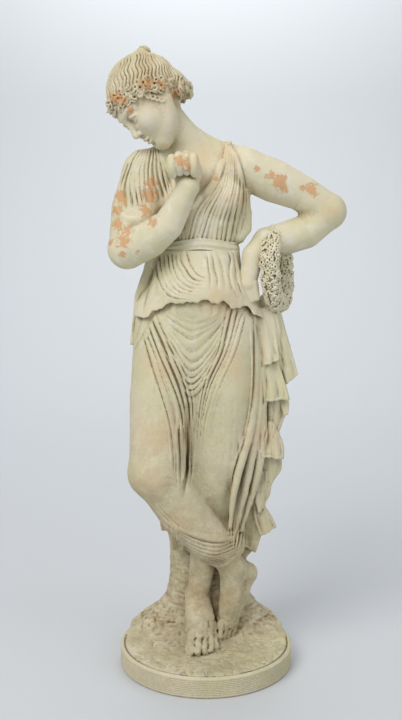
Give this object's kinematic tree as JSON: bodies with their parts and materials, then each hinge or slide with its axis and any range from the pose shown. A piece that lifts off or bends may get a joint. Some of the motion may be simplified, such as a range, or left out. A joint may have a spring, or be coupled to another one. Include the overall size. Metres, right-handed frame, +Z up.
{
  "type": "terracotta statue of a draped woman",
  "caption": "Terracotta statue of a draped woman leaning on a stump, hand at her chin and a wreath over her arm, on a round plinth.",
  "frame": {"origin": "middle of the plinth's flat underside", "axes": "+Z up along the figure's height, -Y the side she faces the viewer from, +X the side of her bent elbow"},
  "size_m": [0.2683, 0.2, 0.701],
  "materials": {
    "terracotta": "matt ivory coat worn through to orange clay in places, brown in the hollows"
  },
  "bodies": {
    "root": {"statue": "terracotta"}
  },
  "joints": []
}
